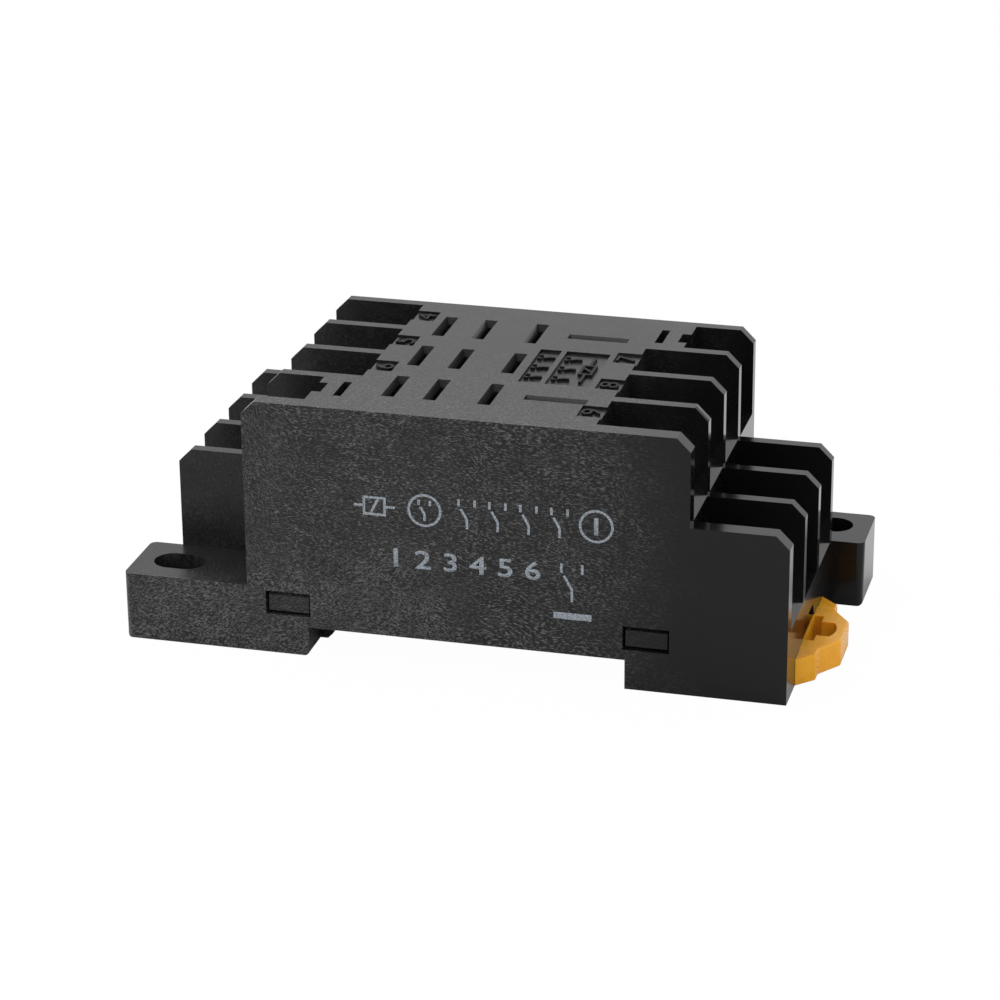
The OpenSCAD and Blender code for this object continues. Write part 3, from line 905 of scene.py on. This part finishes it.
class SOCKET_OT_clamps(bpy.types.Operator):
    """Dress the clamp washers and the terminal screws in zinc plate"""

    bl_idname = "socket.clamps"
    bl_label = "Screws and washers"

    def execute(self, context):
        zinc = finish("zinc_plate", zinc_plate)
        for number in TERMINALS:
            dress(f"clamp_washer_{number}", zinc, sizes().metal_edge)
            dress(f"terminal_screw_{number}", zinc, sizes().metal_edge)
        return {"FINISHED"}


class SOCKET_OT_numbers(bpy.types.Operator):
    """Raise the numbers of the upper terminals in their sunken fields"""

    bl_idname = "socket.numbers"
    bl_label = "Terminal numbers"

    def execute(self, context):
        size = sizes()
        for number in UPPER_TERMINALS:
            screw = screw_place(number)
            pen = Pen(size.symbol_line)
            pen.figure(str(number), (0, 0), size.number_height, 0, 1.25)
            x = math.copysign(size.number_inset, screw.x)
            raise_in_field(pen, f"number_{number}", x, screw.y)
        return {"FINISHED"}


class SOCKET_OT_top_symbols(bpy.types.Operator):
    """Raise plain contact and coil symbols in the two long fields on top"""

    bl_idname = "socket.top_symbols"
    bl_label = "Top symbols"

    narrow_x: FloatProperty(
        name="Narrow field", description="Middle of the narrow field",
        default=4.0 * MM, unit="LENGTH",
    )
    wide_x: FloatProperty(
        name="Wide field", description="Middle of the wide field",
        default=8.27 * MM, unit="LENGTH",
    )
    pitch: FloatProperty(
        name="Pitch", description="Distance between the contact symbols",
        default=3.1 * MM, unit="LENGTH",
    )
    contact_height: FloatProperty(
        name="Contact height", description="Height of a contact symbol",
        default=1.9 * MM, unit="LENGTH",
    )

    def execute(self, context):
        pen = Pen(sizes().symbol_line)
        self.contacts(pen, 0)
        raise_in_field(pen, "contact_symbols", self.narrow_x, 0)

        pen = Pen(sizes().symbol_line)
        coil(pen, (0, -1.1 * MM), 3.0 * MM, 1.6 * MM, 2.4 * MM)
        self.contacts(pen, 1.2 * MM)
        raise_in_field(pen, "circuit_symbols", self.wide_x, 0)
        return {"FINISHED"}

    def contacts(self, pen, row):
        """Three change-over contacts in a row."""
        for step in (-1, 0, 1):
            change_over(pen, (step * self.pitch, row), self.contact_height)


class SOCKET_OT_front_print(bpy.types.Operator):
    """Print a plain connection diagram on the front wall"""

    bl_idname = "socket.front_print"
    bl_label = "Front print"

    upper_row: FloatProperty(
        name="Upper row", description="Height of the row of symbols",
        default=15.2 * MM, unit="LENGTH",
    )
    lower_row: FloatProperty(
        name="Lower row", description="Height of the row of figures",
        default=9.4 * MM, unit="LENGTH",
    )
    bar_row: FloatProperty(
        name="Bar row", description="Height of the plain bar",
        default=4.5 * MM, unit="LENGTH",
    )
    ring_radius: FloatProperty(
        name="Ring radius", description="Outer radius of the two rings",
        default=1.9 * MM, unit="LENGTH",
    )

    def execute(self, context):
        pen = Pen(sizes().print_line)
        self.symbols(pen)
        self.figures(pen)
        self.contact_and_bar(pen)

        wall = Matrix.Translation((0, low_corner("housing").y, 0))
        place = wall @ Matrix.Rotation(math.radians(90), 4, "X")
        printed = pen.mesh("front_print", sizes().print_film, place)
        new_piece("front_print", printed, finish("worn_ink", worn_ink))
        return {"FINISHED"}

    def symbols(self, pen):
        """A coil, four contacts, and a contact and a figure in rings."""
        coil_x, contact_ring_x, figure_ring_x = -9.9 * MM, -4.3 * MM, 14.6 * MM
        first_x, pitch = 0.4 * MM, 3.4 * MM
        row = self.upper_row
        coil(pen, (coil_x, row), 2.6 * MM, 2.2 * MM, 1.0 * MM)
        pen.ring((contact_ring_x, row), self.ring_radius)
        change_over(pen, (contact_ring_x, row), 2.4 * MM)
        for step in range(4):
            change_over(pen, (first_x + pitch * step, row), 3.4 * MM)
        pen.ring((figure_ring_x, row), self.ring_radius)
        pen.figure("1", (figure_ring_x, row), 2.0 * MM)

    def figures(self, pen):
        """The figures 1 to 6 in a row."""
        first_x, pitch, height = -7.6 * MM, 3.05 * MM, 2.15 * MM
        for step in range(6):
            pen.figure(str(step + 1), (first_x + pitch * step, self.lower_row), height)

    def contact_and_bar(self, pen):
        """One more contact over a plain bar."""
        middle, half, thickness = 12.0 * MM, 2.1 * MM, 0.75 * MM
        change_over(pen, (11.95 * MM, 8.4 * MM), 4.4 * MM)
        ends = [(middle + side * half, self.bar_row) for side in (-1, 1)]
        pen.path(ends, width=thickness)


class SOCKET_OT_stage(bpy.types.Operator):
    """Set up the pale floor, the even light, the soft lamp and the camera"""

    bl_idname = "socket.stage"
    bl_label = "Studio"

    def execute(self, context):
        self.camera(context)
        self.floor(context)
        self.even_light(context)
        self.lamp(context)
        context.scene.view_settings.view_transform = "Standard"
        return {"FINISHED"}

    def camera(self, context):
        data = bpy.data.cameras.new("camera")
        data.lens = studio().lens
        data.clip_start, data.clip_end = studio().camera_range
        camera = bpy.data.objects.new("camera", data)
        camera.location = studio().camera_place
        camera.rotation_euler = studio().camera_turn
        context.scene.collection.objects.link(camera)
        context.scene.camera = camera

    def floor(self, context):
        bm = bmesh.new()
        bmesh.ops.create_grid(bm, x_segments=1, y_segments=1, size=studio().floor_size / 2)
        bmesh.ops.translate(bm, verts=bm.verts, vec=(0, 0, CAD_BOX[0][2]))
        mesh = bpy.data.meshes.new("floor")
        bm.to_mesh(mesh)
        bm.free()
        floor = bpy.data.objects.new("floor", mesh)
        context.scene.collection.objects.link(floor)
        mesh.materials.append(self.floor_finish())

    def floor_finish(self):
        """Pale floor that keeps a soft shadow and shows as near white."""
        material = bpy.data.materials.new("pale_floor")
        material.use_nodes = True
        tree = material.node_tree
        tree.nodes.clear()
        plain = tree.nodes.new("ShaderNodeBsdfDiffuse")
        plain.inputs["Color"].default_value = (*studio().floor_colour, 1)
        white = tree.nodes.new("ShaderNodeEmission")
        seen = self.seen(tree, studio().white, studio().gloss_white)
        self.mix(tree, seen, plain, white, "ShaderNodeOutputMaterial")
        return material

    def seen(self, tree, camera, gloss):
        """One share for rays from the camera, one for gloss and glass, and none for the rest."""
        path = tree.nodes.new("ShaderNodeLightPath")
        kinds = {"Is Camera Ray": camera, "Is Glossy Ray": gloss, "Is Transmission Ray": gloss}
        shares = []
        for ray, share in kinds.items():
            scaled = tree.nodes.new("ShaderNodeMath")
            scaled.operation = "MULTIPLY"
            scaled.inputs[1].default_value = share
            tree.links.new(path.outputs[ray], scaled.inputs[0])
            shares.append(scaled.outputs[0])
        while len(shares) > 1:
            most = tree.nodes.new("ShaderNodeMath")
            most.operation = "MAXIMUM"
            tree.links.new(shares.pop(), most.inputs[0])
            tree.links.new(shares.pop(), most.inputs[1])
            shares.append(most.outputs[0])
        return shares[0]

    def mix(self, tree, share, first, second, output):
        """Mixes two shaders by a share and sends them to an output."""
        mixed = tree.nodes.new("ShaderNodeMixShader")
        sources = (share, first.outputs[0], second.outputs[0])
        for source, socket in zip(sources, mixed.inputs):
            tree.links.new(source, socket)
        tree.links.new(mixed.outputs[0], tree.nodes.new(output).inputs[0])

    def even_light(self, context):
        """Light from all round that shows as plain white behind the socket."""
        world = bpy.data.worlds.new("studio")
        world.use_nodes = True
        context.scene.world = world
        tree = world.node_tree
        tree.nodes.clear()
        shaders = []
        for strength in (studio().fill_level, 1):
            shader = tree.nodes.new("ShaderNodeBackground")
            shader.inputs["Color"].default_value = (1, 1, 1, 1)
            shader.inputs["Strength"].default_value = strength
            shaders.append(shader)
        self.mix(tree, self.seen(tree, 1, 1), *shaders, "ShaderNodeOutputWorld")

    def lamp(self, context):
        """Large soft lamp, aimed at the middle of the socket's rail face."""
        data = bpy.data.lights.new("key", "AREA")
        data.shape = "SQUARE"
        data.size = studio().key_size
        data.energy = studio().key_power
        key = bpy.data.objects.new("key", data)
        key.location = studio().key_place
        key.rotation_euler = (-key.location).to_track_quat("-Z", "Y").to_euler()
        context.scene.collection.objects.link(key)


class SOCKET_PT_panel(bpy.types.Panel):
    """Buttons that dress the socket"""

    bl_label = "Relay socket"
    bl_idname = "SOCKET_PT_panel"
    bl_space_type = "VIEW_3D"
    bl_region_type = "UI"
    bl_category = "Socket"

    def draw(self, context):
        for step in STEPS:
            self.layout.operator(step.bl_idname)


STEPS = (
    SOCKET_OT_mouldings,
    SOCKET_OT_rail_clip,
    SOCKET_OT_contacts,
    SOCKET_OT_clamps,
    SOCKET_OT_numbers,
    SOCKET_OT_top_symbols,
    SOCKET_OT_front_print,
    SOCKET_OT_stage,
)
SETTINGS = {
    "socket_sizes": SocketSizes,
    "socket_colours": SocketColours,
    "socket_studio": SocketStudio,
}


def register():
    for cls in (*SETTINGS.values(), *STEPS, SOCKET_PT_panel):
        bpy.utils.register_class(cls)
    for name, cls in SETTINGS.items():
        setattr(bpy.types.Scene, name, PointerProperty(type=cls))


def unregister():
    for name in SETTINGS:
        delattr(bpy.types.Scene, name)
    for cls in reversed((*SETTINGS.values(), *STEPS, SOCKET_PT_panel)):
        bpy.utils.unregister_class(cls)


def main():
    """Dresses the socket step by step and sets up its studio."""
    register()
    bpy.ops.socket.mouldings()
    bpy.ops.socket.rail_clip()
    bpy.ops.socket.contacts()
    bpy.ops.socket.clamps()
    bpy.ops.socket.numbers()
    bpy.ops.socket.top_symbols()
    bpy.ops.socket.front_print()
    bpy.ops.socket.stage()


if __name__ == "__main__":
    main()
